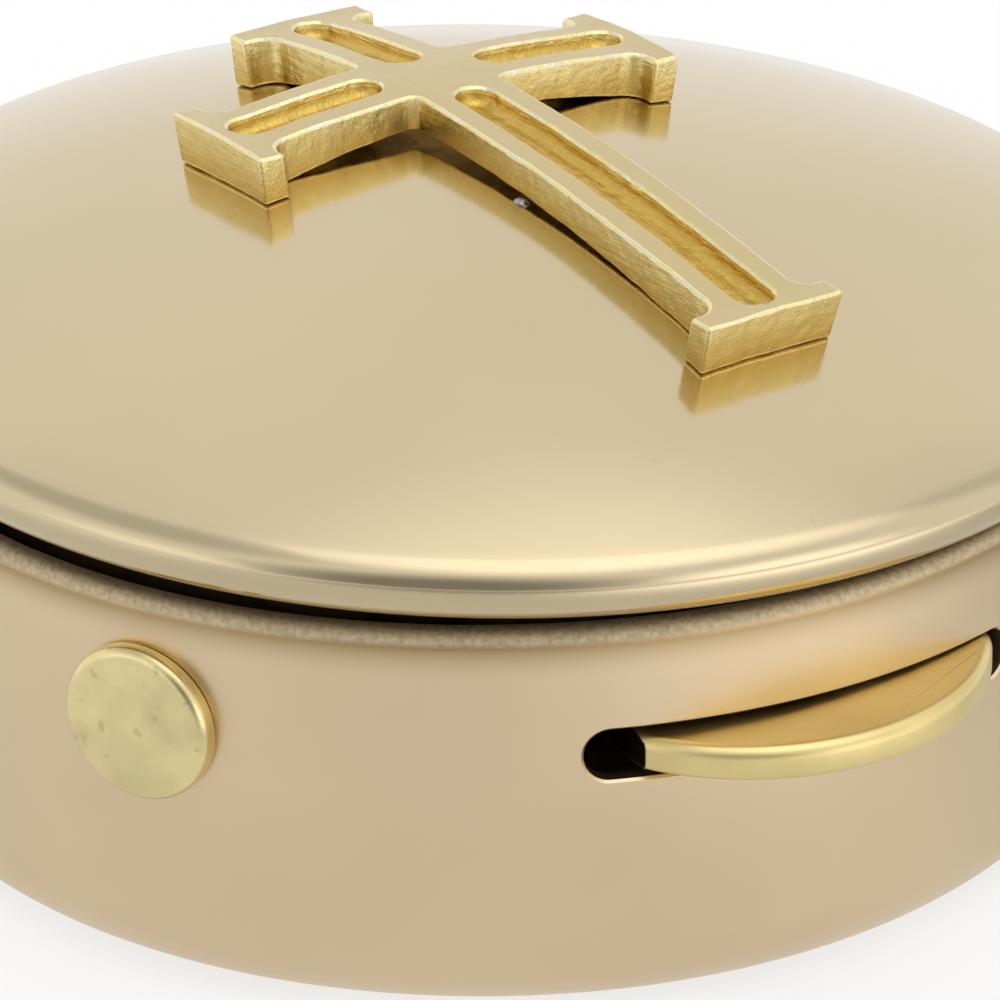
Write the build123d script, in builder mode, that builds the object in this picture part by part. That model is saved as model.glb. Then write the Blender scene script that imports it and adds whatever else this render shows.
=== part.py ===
from build123d import *
from math import acos, asin, cos, degrees, radians, sin, sqrt
import os

# Hinged pyx: drawn cup, domed lid with a rolled edge, cast cross, push-tab spring catch.
# Millimetres. Origin on the table under the cup's centre, +Z up, hinge at +Y, catch at -Y.

# Cup
CUP_R = 27.0
CUP_H = 17.0
WALL_T = 0.7
FLOOR_T = 0.9
CORNER_R = 3.2
RIM_R = 0.7

# Slot in the wall, under the rim, with room for the tab at its two ends
SLOT_DOWN = 5.35
SLOT_H = 2.16
SLOT_LEFT_ROOM = 2.1
SLOT_RIGHT_ROOM = 1.0

# Push tab, its angle measured round the wall from -Y toward +X
TAB_ANGLE = -5.6
TAB_REACH = 3.3
TAB_ARC_R = 9.6
TAB_T = 1.3
TAB_SIT = 0.38
TAB_SIDE_IN = 0.15
TAB_EDGE_R = 0.3
TAB_STRIP = 1.2
TAB_TRAVEL = 1.6

# Catch on the lid
CATCH_T = 0.75
CATCH_W = 4.4
CATCH_TOP_W = 6.8
CATCH_GRIP = 0.8
CATCH_PLAY = 0.25
CATCH_DROP = 0.15
CATCH_HOOK_H = 1.6

# Leaf spring and its rivet
SPRING_T = 0.5
SPRING_H = 3.6
SPRING_LEFT_ROOM = 0.45
SPRING_RIGHT = 5.0
RIVET_ANGLE = -64.75
RIVET_RAISE = 0.165
RIVET_HEAD_R = 3.22
RIVET_HEAD_T = 0.9
RIVET_EDGE_R = 0.35
RIVET_SHANK_R = 1.2
PAD_HALF = 8.0
BURR_R = 2.2
BURR_T = 0.5
TAIL_R = 1.8
TAIL_T = 0.6

# Lid
LID_GAP = 1.65
LID_TILT = 2.26
LID_OVERHANG = 1.2
BEAD_R = 1.35
DOME_R = 74.6
SHEET_T = 0.9
BEZEL_GAP = 0.8
BEZEL_T = 0.7
BEZEL_DROP = 3.0

# Cross
CROSS_Y = 4.37
CROSS_ARM = 10.4
CROSS_FOOT = 23.7
CROSS_TOP = 10.35
CROSS_W = 4.1
CROSS_END_W = 6.7
CROSS_END_T = 1.25
CROSS_FLARE_R = 0.85
CROSS_CORNER_R = 0.45
CROSS_HIGH = 2.2
CROSS_SEAT = 0.12
GROOVE_W = 1.75
GROOVE_DEPTH = 0.65
GROOVE_IN = 2.5
GROOVE_OUT = 0.8
RELIEF_H = 0.9
RELIEF_R = 9.0
STUD_R = 0.8
STUD_HEAD_R = 1.4
STUD_HEAD_T = 0.5
STUD_SINK = 0.9
STUD_FRONT_Y = -11.0
STUD_BACK_Y = 9.6

# Hinge
PIN_BEHIND = 1.0
PIN_OVER = 1.3
PIN_R = 0.6
PIN_HEAD_R = 0.9
PIN_HEAD_T = 0.3
KNUCKLE_R = 1.25
HINGE_HALF = 5.0
LID_KNUCKLE_HALF = 1.6
LEAF_T = 0.8
LEAF_DOWN = 7.5
LID_LEAF_HALF = 4.5

# Clearances
FIT = 0.05
SEAT = 0.08
SLIDE = 0.2

# Places that follow from the cup
wall_in_r = CUP_R - WALL_T
slot_z = CUP_H - SLOT_DOWN
tab_z = slot_z - SLOT_H / 2 + TAB_SIT
rivet_z = slot_z + RIVET_RAISE
lid_z = CUP_H + LID_GAP
lid_r = CUP_R + LID_OVERHANG
bezel_r = CUP_R - RIM_R * 2 - BEZEL_GAP
pin_y = CUP_R + PIN_BEHIND
pin_z = CUP_H + PIN_OVER

# Lid frame and dome
tilt = radians(LID_TILT)
lid_up = Vector(0, -sin(tilt), cos(tilt))
lid_back = Vector(0, cos(tilt), sin(tilt))
lid_origin = Vector(0, 0, lid_z)
lid_plane = Plane(origin=lid_origin, x_dir=(1, 0, 0), z_dir=lid_up)
lid_section = Plane(origin=lid_origin, x_dir=(1, 0, 0), z_dir=lid_back * -1)
lid_axis = Axis(lid_origin, lid_up)
bead_mid_r = lid_r - BEAD_R
dome_low = BEAD_R - sqrt((DOME_R - BEAD_R) ** 2 - bead_mid_r**2)
dome_top = dome_low + DOME_R
dome_centre = lid_origin + lid_up * dome_low
bead_angle = asin(bead_mid_r / (DOME_R - BEAD_R))
dome_in_r = DOME_R - SHEET_T
over_dome = dome_top * 2


def dome_z(radius, sphere_r):
    """Height over the lid's edge plane of a sphere about the dome's centre."""
    return dome_low + sqrt(sphere_r**2 - radius**2)


def on_sphere(angle, sphere_r):
    """Point of the lid's section at an angle from the lid's axis."""
    return (sphere_r * sin(angle), dome_low + sphere_r * cos(angle))


def outward(angle_deg):
    """Unit vector out of the wall at an angle from -Y toward +X."""
    a = radians(angle_deg)
    return Vector(sin(a), -cos(a), 0)


def along(angle_deg):
    """Unit vector along the wall toward growing angles."""
    a = radians(angle_deg)
    return Vector(cos(a), sin(a), 0)


def wall_plane(angle_deg, distance, height):
    """Plane facing out of the wall, with X along the wall and Y up."""
    origin = outward(angle_deg) * distance + Vector(0, 0, height)
    return Plane(origin=origin, x_dir=along(angle_deg), z_dir=outward(angle_deg))


def half_plane(angle_deg):
    """Upright plane through the cup's axis, with X outward at the angle and Y up."""
    return Plane(origin=(0, 0, 0), x_dir=outward(angle_deg), z_dir=along(angle_deg) * -1)


# Tab plan, in a frame with X outward at the tab and Y along the wall
tab_plane = Plane(origin=(0, 0, tab_z), x_dir=outward(TAB_ANGLE), z_dir=(0, 0, 1))
tab_mid = CUP_R + TAB_REACH - TAB_ARC_R
bezel_in_r = bezel_r - BEZEL_T
catch_lean = BEZEL_DROP * sin(tilt)
catch_out = sqrt(bezel_in_r**2 - (CATCH_TOP_W / 2) ** 2) * cos(tilt) - catch_lean - SEAT
catch_in = catch_out - CATCH_T
hole_in = catch_in - CATCH_PLAY
hook_tip = hole_in - CATCH_GRIP
tab_in = hole_in - TAB_STRIP
hole_out = catch_out + TAB_TRAVEL + SLIDE * 2
catch_top = lid_z + BEZEL_DROP / 2
catch_low = tab_z - CATCH_DROP - CATCH_HOOK_H

wall_cut = WALL_T * 4
wall_cut_in = CUP_R - WALL_T / 2 - wall_cut / 2
slot_round_r = SLOT_H / 2
tab_cross_out = (CUP_R**2 + tab_mid**2 - TAB_ARC_R**2) / (2 * tab_mid)
tab_tip = degrees(acos(tab_cross_out / CUP_R))
tab_half = CUP_R * sin(radians(tab_tip)) - TAB_SIDE_IN
slot_left = TAB_ANGLE - tab_tip - degrees((SLOT_LEFT_ROOM - slot_round_r) / CUP_R)
slot_right = TAB_ANGLE + tab_tip + degrees((SLOT_RIGHT_ROOM - slot_round_r) / CUP_R)
rivet_seat = CUP_R + FIT
pad_out_r = wall_in_r - SEAT
pad_in_r = pad_out_r - SPRING_T
burr_out = sqrt(pad_in_r**2 - BURR_R**2) - FIT
burr_in = burr_out - BURR_T
tail_out = burr_in - FIT
tail_in = tail_out - TAIL_T

# Cup, drawn from sheet with a rolled rim
rim_z = CUP_H - RIM_R
with BuildPart() as base_cup:
    with BuildSketch(Plane.XZ) as cup_profile:
        with BuildLine():
            Polyline(
                (0, 0),
                (CUP_R, 0),
                (CUP_R, rim_z),
                (wall_in_r, rim_z),
                (wall_in_r, FLOOR_T),
                (0, FLOOR_T),
                close=True,
            )
        make_face()
        fillet(cup_profile.vertices().group_by(Axis.Y)[1].sort_by(Axis.X)[-1], CORNER_R - WALL_T)
        fillet(cup_profile.vertices().group_by(Axis.Y)[0].sort_by(Axis.X)[-1], CORNER_R)
        with Locations((CUP_R - RIM_R, rim_z)):
            Circle(RIM_R)
    revolve(axis=Axis.Z)
    with BuildSketch(half_plane(slot_left)):
        with Locations((CUP_R, slot_z)):
            Rectangle(wall_cut, SLOT_H)
    revolve(axis=Axis.Z, revolution_arc=slot_right - slot_left, mode=Mode.SUBTRACT)
    for end_angle in (slot_left, slot_right):
        with BuildSketch(wall_plane(end_angle, wall_cut_in, slot_z)):
            Circle(slot_round_r)
        extrude(amount=wall_cut, mode=Mode.SUBTRACT)
    with BuildSketch(wall_plane(RIVET_ANGLE, wall_cut_in, rivet_z)):
        Circle(RIVET_SHANK_R + FIT)
    extrude(amount=wall_cut, mode=Mode.SUBTRACT)
base_cup.part.label = "base_cup"

# Rivet that holds the spring, with its head outside the wall
with BuildPart() as wall_rivet:
    with BuildSketch(wall_plane(RIVET_ANGLE, rivet_seat, rivet_z)):
        Circle(RIVET_HEAD_R)
    extrude(amount=RIVET_HEAD_T)
    fillet(wall_rivet.faces().sort_by(Axis((0, 0, rivet_z), outward(RIVET_ANGLE)))[-1].edges(), RIVET_EDGE_R)
    with BuildSketch(wall_plane(RIVET_ANGLE, tail_in, rivet_z)):
        Circle(RIVET_SHANK_R)
    extrude(amount=rivet_seat - tail_in)
    with BuildSketch(wall_plane(RIVET_ANGLE, tail_in, rivet_z)):
        Circle(TAIL_R)
    extrude(amount=TAIL_T)
wall_rivet.part.label = "wall_rivet"

# Washer under the rivet's spread tail
with BuildPart() as rivet_burr:
    with BuildSketch(wall_plane(RIVET_ANGLE, burr_in, rivet_z)):
        Circle(BURR_R)
        Circle(RIVET_SHANK_R + FIT, mode=Mode.SUBTRACT)
    extrude(amount=BURR_T)
rivet_burr.part.label = "rivet_burr"

# Leaf spring, bent from the wall at the rivet to the back of the tab
spring_low = slot_z - SPRING_H / 2
spring_left = tab_half + SPRING_LEFT_ROOM
pad_start = RIVET_ANGLE + PAD_HALF
pad_stop = RIVET_ANGLE - PAD_HALF


def tab_point(distance, offset):
    """Plan point at a distance outward and an offset along the wall at the tab."""
    return outward(TAB_ANGLE) * distance + along(TAB_ANGLE) * offset


with BuildPart() as leaf_spring:
    with BuildSketch(Plane.XY.offset(spring_low)):
        with BuildLine():
            face_end = tab_point(tab_in, -spring_left)
            back_end = tab_point(tab_in - SPRING_T, -spring_left)
            face_tip = tab_point(tab_in, SPRING_RIGHT)
            back_tip = tab_point(tab_in - SPRING_T, SPRING_RIGHT)
            pad_face = outward(pad_start) * pad_out_r
            pad_back = outward(pad_start) * pad_in_r
            stop_face = outward(pad_stop) * pad_out_r
            stop_back = outward(pad_stop) * pad_in_r
            leave = along(TAB_ANGLE) * -1
            arrive = along(pad_start) * -1
            Line(face_tip, face_end)
            Spline(face_end, pad_face, tangents=(leave, arrive))
            ThreePointArc(pad_face, outward(RIVET_ANGLE) * pad_out_r, stop_face)
            Line(stop_face, stop_back)
            ThreePointArc(stop_back, outward(RIVET_ANGLE) * pad_in_r, pad_back)
            Spline(pad_back, back_end, tangents=(arrive * -1, leave * -1))
            Line(back_end, back_tip)
            Line(back_tip, face_tip)
        make_face()
    extrude(amount=SPRING_H)
    with BuildSketch(wall_plane(RIVET_ANGLE, pad_in_r - SPRING_T, rivet_z)):
        Circle(RIVET_SHANK_R + FIT)
    extrude(amount=SPRING_T * 3, mode=Mode.SUBTRACT)
leaf_spring.part.label = "leaf_spring"

# Crescent push tab, one plate through the slot with the catch hole behind the wall
with BuildPart() as push_tab:
    with BuildSketch(tab_plane):
        with Locations((tab_mid, 0)):
            Circle(TAB_ARC_R)
        with Locations((tab_in, 0)):
            Rectangle(TAB_ARC_R * 2, tab_half * 2, align=(Align.MIN, Align.CENTER), mode=Mode.INTERSECT)
        with Locations(((hole_in + hole_out) / 2, 0)):
            Rectangle(hole_out - hole_in, CATCH_W + SLIDE * 4, mode=Mode.SUBTRACT)
    extrude(amount=TAB_T)
    rim_edges = push_tab.edges().filter_by(GeomType.CIRCLE)
    fillet(rim_edges, TAB_EDGE_R)
push_tab.part.label = "push_tab"

# Lid, a domed sheet whose edge is rolled into a round bead
centre_gap = DOME_R - BEAD_R
cut_along = (centre_gap**2 + dome_in_r**2 - BEAD_R**2) / (2 * centre_gap)
cut_across = sqrt(dome_in_r**2 - cut_along**2)
bead_join = (
    cut_along * sin(bead_angle) - cut_across * cos(bead_angle),
    dome_low + cut_along * cos(bead_angle) + cut_across * sin(bead_angle),
)
join_angle = asin(bead_join[0] / dome_in_r)
with BuildPart() as lid_shell:
    with BuildSketch(lid_section):
        with BuildLine():
            bead_start = on_sphere(bead_angle, DOME_R)
            bead_foot = (bead_mid_r, 0)
            bead_back = (bead_mid_r - BEAD_R * cos(radians(30)), BEAD_R - BEAD_R * sin(radians(30)))
            ThreePointArc((0, dome_top), on_sphere(bead_angle / 2, DOME_R), bead_start)
            ThreePointArc(bead_start, (lid_r, BEAD_R), bead_foot)
            ThreePointArc(bead_foot, bead_back, bead_join)
            ThreePointArc(bead_join, on_sphere(join_angle / 2, dome_in_r), (0, dome_top - SHEET_T))
            Line((0, dome_top - SHEET_T), (0, dome_top))
        make_face()
    revolve(axis=lid_axis)
    with BuildSketch(lid_plane):
        with Locations((0, STUD_FRONT_Y), (0, STUD_BACK_Y)):
            Circle(STUD_R + FIT)
    extrude(amount=over_dome, mode=Mode.SUBTRACT)
lid_shell.part.label = "lid_shell"

# Ring inside the lid that drops into the cup
bezel_top = dome_z(bezel_r, dome_in_r) - SEAT
with BuildPart() as lid_bezel:
    with BuildSketch(lid_plane.offset(-BEZEL_DROP)):
        Circle(bezel_r)
        Circle(bezel_in_r, mode=Mode.SUBTRACT)
    extrude(amount=BEZEL_DROP + bezel_top)
lid_bezel.part.label = "lid_bezel"

# Catch tongue, soldered to the ring: shoulders over the tab plate and a hook under it
hook_top = tab_z - CATCH_DROP
hook_bevel = hook_top - CATCH_DROP * 2
shoulder_z = tab_z + TAB_T + CATCH_DROP
with BuildPart() as lid_catch:
    with BuildSketch(half_plane(TAB_ANGLE).offset(-CATCH_W / 2)):
        with BuildLine():
            Polyline(
                (catch_out, shoulder_z),
                (catch_in, shoulder_z),
                (catch_in, hook_top),
                (hook_tip, hook_top),
                (hook_tip, hook_bevel),
                (catch_in, catch_low),
                (catch_out, catch_low),
                close=True,
            )
        make_face()
    extrude(amount=CATCH_W)
    with BuildSketch(half_plane(TAB_ANGLE).offset(-CATCH_TOP_W / 2)):
        with Locations(((catch_in + catch_out) / 2, (shoulder_z + catch_top) / 2)):
            Rectangle(CATCH_T, catch_top - shoulder_z)
    extrude(amount=CATCH_TOP_W)
lid_catch.part.label = "lid_catch"

# Cast cross, bent over the dome, on four broad ends
foot_y = CROSS_Y - CROSS_FOOT
top_y = CROSS_Y + CROSS_TOP
half_w = CROSS_W / 2
half_end = CROSS_END_W / 2
with BuildPart() as groove_tool:
    with BuildSketch(lid_plane):
        for turn, reach in ((0, CROSS_ARM), (90, CROSS_TOP), (180, CROSS_ARM), (270, CROSS_FOOT)):
            with Locations(Location((0, CROSS_Y), turn)):
                with Locations(((GROOVE_IN + reach - GROOVE_OUT) / 2, 0)):
                    SlotOverall(reach - GROOVE_OUT - GROOVE_IN, GROOVE_W)
    extrude(amount=over_dome)
    with Locations(dome_centre):
        Sphere(DOME_R + CROSS_HIGH - GROOVE_DEPTH, mode=Mode.SUBTRACT)


def is_crotch(corner):
    """A corner where two arms of the cross meet."""
    dx = abs(abs(corner.X) - half_w)
    dy = abs(abs(corner.Y - CROSS_Y) - half_w)
    return max(dx, dy) < 1e-3


def is_flare(corner):
    """A corner where an arm of the cross meets its broad end."""
    dx = abs(abs(corner.X) - half_w)
    dy = abs(abs(corner.Y - CROSS_Y) - half_w)
    return min(dx, dy) < 1e-3 and not is_crotch(corner)


relief_sphere_r = 1 / (2 * RELIEF_H / (RELIEF_R**2 + RELIEF_H**2) + 1 / DOME_R)
relief_dir = (lid_back * CROSS_Y + lid_up * sqrt(DOME_R**2 - CROSS_Y**2)).normalized()
relief_centre = dome_centre + relief_dir * (DOME_R + CROSS_SEAT + RELIEF_H - relief_sphere_r)
with BuildSketch(lid_plane) as cross_plan:
    with Locations((0, (foot_y + top_y) / 2)):
        Rectangle(CROSS_W, top_y - foot_y)
    with Locations((0, CROSS_Y)):
        Rectangle(CROSS_ARM * 2, CROSS_W)
    with Locations((0, foot_y + CROSS_END_T / 2), (0, top_y - CROSS_END_T / 2)):
        Rectangle(CROSS_END_W, CROSS_END_T)
    with Locations((-CROSS_ARM + CROSS_END_T / 2, CROSS_Y), (CROSS_ARM - CROSS_END_T / 2, CROSS_Y)):
        Rectangle(CROSS_END_T, CROSS_END_W)
    fillet(cross_plan.vertices().filter_by(is_flare), CROSS_FLARE_R)
    fillet(cross_plan.vertices().filter_by(is_crotch), CROSS_CORNER_R)

# The plan spreads from the dome's centre, so that the sides stand square to the dome
with BuildPart() as cross:
    for share in (0.9, 1.1):
        with BuildSketch(lid_plane.offset(dome_low + DOME_R * share)):
            add(cross_plan.sketch_local)
            scale(by=share)
    loft(ruled=True)
    with Locations(dome_centre):
        Sphere(DOME_R + CROSS_HIGH, mode=Mode.INTERSECT)
    with Locations(dome_centre):
        Sphere(DOME_R + CROSS_SEAT, mode=Mode.SUBTRACT)
    with Locations(relief_centre):
        Sphere(relief_sphere_r, mode=Mode.SUBTRACT)
    add(groove_tool.part, mode=Mode.SUBTRACT)
    for stud_y in (STUD_FRONT_Y, STUD_BACK_Y):
        with BuildSketch(lid_plane):
            with Locations((0, stud_y)):
                Circle(STUD_R + FIT)
        extrude(amount=dome_z(stud_y, DOME_R) + CROSS_SEAT + STUD_SINK, mode=Mode.SUBTRACT)
cross.part.label = "cross"

# Studs that hold the cross, spread under the lid's sheet
with BuildPart() as cross_studs:
    for stud_y in (STUD_FRONT_Y, STUD_BACK_Y):
        sheet_low = dome_z(abs(stud_y) + STUD_HEAD_R, dome_in_r) - FIT
        stud_top = dome_z(stud_y, DOME_R) + CROSS_SEAT + STUD_SINK - SEAT
        with BuildSketch(lid_plane.offset(sheet_low - STUD_HEAD_T)):
            with Locations((0, stud_y)):
                Circle(STUD_HEAD_R)
        extrude(amount=STUD_HEAD_T)
        with BuildSketch(lid_plane.offset(sheet_low - STUD_HEAD_T)):
            with Locations((0, stud_y)):
                Circle(STUD_R)
        extrude(amount=stud_top - sheet_low + STUD_HEAD_T)
cross_studs.part.label = "cross_studs"

# Hinge half on the cup: a curved leaf and two knuckles
leaf_in_r = CUP_R + SEAT
knuckle_side = Plane(origin=(0, pin_y, pin_z), x_dir=(0, 1, 0), z_dir=(1, 0, 0))
knuckle_gap = LID_KNUCKLE_HALF + SLIDE
knuckle_len = HINGE_HALF - knuckle_gap
leaf_top_z = pin_z - KNUCKLE_R - SLIDE * 2
leaf_low_z = CUP_H - LEAF_DOWN
with BuildPart() as hinge_base_leaf:
    with BuildSketch(Plane.XY.offset(leaf_low_z)):
        Circle(leaf_in_r + LEAF_T)
        Circle(leaf_in_r, mode=Mode.SUBTRACT)
        with Locations((0, CUP_R)):
            Rectangle(HINGE_HALF * 2, CUP_R, mode=Mode.INTERSECT)
    extrude(amount=leaf_top_z - leaf_low_z)
    for start in (knuckle_gap, -HINGE_HALF):
        with BuildSketch(knuckle_side.offset(start)):
            Circle(KNUCKLE_R)
            with Locations(((leaf_in_r + pin_y) / 2 - pin_y, (leaf_top_z - pin_z) / 2 - SLIDE)):
                Rectangle(pin_y - leaf_in_r, pin_z - leaf_top_z + SLIDE * 2)
        extrude(amount=knuckle_len)
    with BuildSketch(knuckle_side.offset(-HINGE_HALF)):
        Circle(PIN_R + FIT)
    extrude(amount=HINGE_HALF * 2, mode=Mode.SUBTRACT)
hinge_base_leaf.part.label = "hinge_base_leaf"

# Hinge half on the lid: a T-shaped leaf under the bead, soldered to the ring, and one knuckle
lid_leaf_low = -FIT - LEAF_T
lid_leaf_out_r = pin_y - KNUCKLE_R - SLIDE * 2
neck_low_z = pin_z + KNUCKLE_R - LEAF_T
with BuildPart() as hinge_lid_leaf:
    with BuildSketch(lid_plane.offset(lid_leaf_low)):
        Circle(lid_leaf_out_r)
        Circle(bezel_r + SEAT, mode=Mode.SUBTRACT)
        with Locations((0, lid_r)):
            Rectangle(LID_LEAF_HALF * 2, lid_r, mode=Mode.INTERSECT)
    extrude(amount=LEAF_T)
    with BuildSketch(knuckle_side.offset(-LID_KNUCKLE_HALF)):
        Circle(KNUCKLE_R)
        with BuildLine():
            Polyline(
                (0, neck_low_z - pin_z),
                (0, KNUCKLE_R),
                (lid_leaf_out_r - LEAF_T - pin_y, KNUCKLE_R),
                (lid_leaf_out_r - LEAF_T - pin_y, neck_low_z - pin_z),
                close=True,
            )
        make_face()
    extrude(amount=LID_KNUCKLE_HALF * 2)
    with BuildSketch(knuckle_side.offset(-HINGE_HALF)):
        Circle(PIN_R + FIT)
    extrude(amount=HINGE_HALF * 2, mode=Mode.SUBTRACT)
hinge_lid_leaf.part.label = "hinge_lid_leaf"

# Hinge pin with spread ends
with BuildPart() as hinge_pin:
    pin_half = HINGE_HALF + FIT
    with BuildSketch(knuckle_side.offset(-pin_half)):
        Circle(PIN_R)
    extrude(amount=pin_half * 2)
    for start in (pin_half, -pin_half - PIN_HEAD_T):
        with BuildSketch(knuckle_side.offset(start)):
            Circle(PIN_HEAD_R)
        extrude(amount=PIN_HEAD_T)
hinge_pin.part.label = "hinge_pin"

os.makedirs("parts", exist_ok=True)
export_step(base_cup.part, "parts/base_cup.step")
export_step(wall_rivet.part, "parts/wall_rivet.step")
export_step(rivet_burr.part, "parts/rivet_burr.step")
export_step(leaf_spring.part, "parts/leaf_spring.step")
export_step(push_tab.part, "parts/push_tab.step")
export_step(lid_shell.part, "parts/lid_shell.step")
export_step(lid_bezel.part, "parts/lid_bezel.step")
export_step(lid_catch.part, "parts/lid_catch.step")
export_step(cross.part, "parts/cross.step")
export_step(cross_studs.part, "parts/cross_studs.step")
export_step(hinge_base_leaf.part, "parts/hinge_base_leaf.step")
export_step(hinge_lid_leaf.part, "parts/hinge_lid_leaf.step")
export_step(hinge_pin.part, "parts/hinge_pin.step")
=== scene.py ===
from math import acos, asin, atan2, cos, degrees, pi, radians, sin, sqrt

import bpy
from bpy.props import FloatProperty, FloatVectorProperty, IntProperty, PointerProperty
from mathutils import Matrix, Vector, noise


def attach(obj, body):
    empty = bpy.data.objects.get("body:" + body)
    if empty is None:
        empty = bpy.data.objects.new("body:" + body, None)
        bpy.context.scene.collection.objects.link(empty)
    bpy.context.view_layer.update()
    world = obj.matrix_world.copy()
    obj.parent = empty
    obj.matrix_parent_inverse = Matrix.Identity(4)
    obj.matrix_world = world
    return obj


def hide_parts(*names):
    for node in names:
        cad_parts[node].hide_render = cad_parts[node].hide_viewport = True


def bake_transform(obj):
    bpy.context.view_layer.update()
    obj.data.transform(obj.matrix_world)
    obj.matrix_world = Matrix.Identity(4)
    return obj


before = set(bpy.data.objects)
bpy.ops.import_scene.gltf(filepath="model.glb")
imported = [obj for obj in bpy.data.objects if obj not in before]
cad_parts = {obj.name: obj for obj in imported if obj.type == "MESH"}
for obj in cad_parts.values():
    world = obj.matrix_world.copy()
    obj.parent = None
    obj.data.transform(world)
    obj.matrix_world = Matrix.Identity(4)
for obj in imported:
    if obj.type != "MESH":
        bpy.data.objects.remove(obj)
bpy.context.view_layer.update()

bl_info = {
    "name": "Pyx",
    "version": (1, 0, 0),
    "blender": (4, 5, 0),
    "location": "View3D > Sidebar > Pyx",
    "description": "Builds a small gilt pyx with a domed lid, a cast cross and a push tab",
    "category": "Add Mesh",
}

MM = 0.001
MERGE = 0.0005 * MM  # points this near are one
WELD = 0.003 * MM  # slivers this thin are closed after a cut
TOUCH = 0.01 * MM  # points this near a face or an arc lie on it
CAST_SEED = 11
# The edges mark carries painted highlight and the hollow mark painted shade, beside the rubbed wear.
WEAR_AND_SHADE = ("rubbed", "edges", "hollow")  # attributes of the cross that its finish reads
WHITE = (1, 1, 1, 1)
AIM = Vector((0, 0, 14 * MM))  # the place that the lights and cards face

# Name, degrees round from the camera, elevation, distance, width, height and brightness
STANDING_CARDS = (
    ("overhead_card", 48, 75, 1.0, 1.7, 1.7, 1.72),
    ("front_card", -6, 9, 0.9, 1.5, 1.5, 0.3),
    ("left_card", -85, 52, 1.05, 1.9, 1.3, 0.65),
    ("left_window", -54, 3, 1.0, 0.95, 0.8, 1.3),
    ("right_window", 47, 2, 0.95, 0.95, 0.95, 1.8),
    ("right_card", 115, 35, 1.1, 1.0, 2.0, 0.75),
)
# Name, degrees round from the camera, distance, width, depth, brightness and height
LYING_CARDS = (
    ("floor_near", 0, 0, 0.28, 0.28, 0.76, -0.01 * MM),
    ("floor_front", -4, 0.24, 0.3, 0.44, 0.4, 0.1 * MM),
    ("floor_right", 45, 0.125, 0.17, 0.185, 1.75, 0.3 * MM),
    ("floor_side", 100, 0.07, 0.14, 0.13, 0.62, 0.5 * MM),
)


# Settings

def length(name, millimetres, description):
    """A size that is typed in metres, with its default given in millimetres."""
    return FloatProperty(
        name=name, description=description, default=millimetres * MM, precision=5, unit="LENGTH"
    )


def angle(name, turn, description):
    """An angle with its default given in degrees."""
    return FloatProperty(
        name=name, description=description, default=radians(turn), subtype="ANGLE", unit="ROTATION"
    )


def colour(name, red, green, blue, description):
    """A linear colour."""
    return FloatVectorProperty(
        name=name, description=description, default=(red, green, blue), subtype="COLOR", min=0, max=1
    )


class PyxCup(bpy.types.PropertyGroup):
    radius: length("Radius", 27.0, "Outside radius of the cup's wall")
    height: length("Height", 17.0, "Height of the rolled rim over the table")
    wall: length("Wall", 0.7, "Thickness of the wall")
    floor: length("Floor", 0.9, "Thickness of the floor")
    corner: length("Corner", 3.2, "Outside radius where the wall meets the floor")
    rim: length("Rim", 0.7, "Radius of the rolled rim")
    slot_height: length("Slot height", 2.16, "Height of the slot for the tab")
    slot_z: length("Slot middle", 11.65, "Height of the slot's middle over the table")
    slot_left_room: length("Slot room left", 2.1, "Slot left free at the tab's left end")
    slot_right_room: length("Slot room right", 1.0, "Slot left free at the tab's right end")
    slot_edge: length("Slot edge", 0.1, "Flare of the slot's outer edge")


class PyxTab(bpy.types.PropertyGroup):
    turn: angle("Place", -5.6, "Angle round the wall from the front")
    reach: length("Reach", 3.3, "How far the tab stands out of the wall")
    arc: length("Arc", 9.6, "Radius of the tab's rounded end")
    thick: length("Thickness", 1.4, "Thickness of the plate")
    low: length("Underside", 11.09, "Height of the plate's underside over the table")
    side_in: length("Side inset", 0.15, "How far the straight sides lie inside the slot's mouth")
    roll: angle("Roll", 1.25, "How far the right side of the tab stands higher")
    back: length("Back", 21.442, "Distance of the plate's back edge from the cup's axis")
    hole_in: length("Hole back", 22.642, "Distance of the catch hole's back from the cup's axis")
    hole_out: length("Hole front", 25.642, "Distance of the catch hole's front from the cup's axis")
    hole_width: length("Hole width", 5.2, "Width of the catch hole")
    edge_top: length("Top edge", 0.5, "Rounding of the upper edge")
    edge_low: length("Lower edge", 0.3, "Rounding of the lower edge")


class PyxRivet(bpy.types.PropertyGroup):
    turn: angle("Place", -64.75, "Angle round the wall from the front")
    z: length("Height", 11.815, "Height of the rivet's middle over the table")
    seat: length("Seat", 27.05, "Distance of the head's underside from the cup's axis")
    head: length("Head radius", 3.22, "Radius of the head")
    head_thick: length("Head thickness", 0.9, "Thickness of the head")
    shank: length("Shank", 1.2, "Radius of the shank")
    tail: length("Tail radius", 1.8, "Radius of the spread tail")
    tail_thick: length("Tail thickness", 0.6, "Thickness of the spread tail")


class PyxSpring(bpy.types.PropertyGroup):
    thick: length("Thickness", 0.5, "Thickness of the strip")
    height: length("Height", 3.6, "Height of the strip")
    right: length("Right end", 5.0, "How far the strip goes past the middle of the tab")
    left_room: length("Left room", 0.45, "Straight strip past the tab's left side")
    pad: angle("Pad", 8.0, "Half the angle of the strip's end that lies on the wall")
    pad_gap: length("Pad gap", 0.08, "Room between the strip's end and the wall")


class PyxLid(bpy.types.PropertyGroup):
    z: length("Edge height", 18.65, "Height of the lid's lower edge over the table")
    tilt: angle("Tilt", 2.26, "How far the lid stands open toward the front")
    radius: length("Radius", 28.2, "Outside radius of the rolled edge")
    bead: length("Bead", 1.35, "Radius of the rolled edge's section")
    dome: length("Dome", 74.6, "Radius of the dome")
    sheet: length("Sheet", 0.9, "Thickness of the sheet")


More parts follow.
